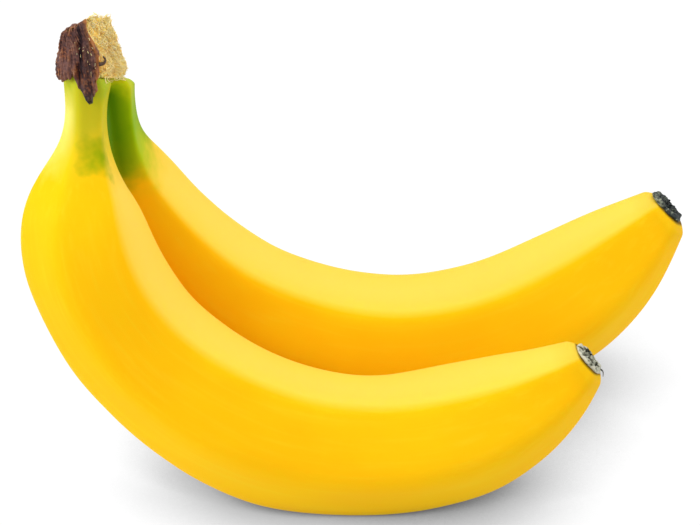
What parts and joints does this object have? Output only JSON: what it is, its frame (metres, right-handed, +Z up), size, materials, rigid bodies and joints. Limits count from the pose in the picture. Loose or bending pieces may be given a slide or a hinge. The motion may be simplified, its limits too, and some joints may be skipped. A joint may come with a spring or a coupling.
{
  "type": "joined bananas",
  "caption": "Ripe bananas joined at a torn crown with dried brown rind, standing on their curved backs, with dried blossom cups at the tips.",
  "frame": {"origin": "middle of the box's underside, on the surface that the fruits stand on", "axes": "+X from the necks towards the tips, +Y from the front fruit to the rear fruit, +Z up"},
  "size_m": [0.1752, 0.0886, 0.1323],
  "materials": {
    "front_peel": "smooth satin ripe yellow peel, green at the neck",
    "rear_peel": "smooth satin ripe yellow peel, green at the neck",
    "crown_rind": "dried, dark brown, wrinkled",
    "crown_pith": "torn pale fibres, matt",
    "front_cup": "dried, grey, crumpled",
    "rear_cup": "dried, nearly black, crumpled"
  },
  "bodies": {
    "root": {"front_banana": "front_peel", "rear_banana": "rear_peel", "crown_rind": "crown_rind", "crown_pith": "crown_pith", "front_blossom_cup": "front_cup", "rear_blossom_cup": "rear_cup"}
  },
  "joints": []
}
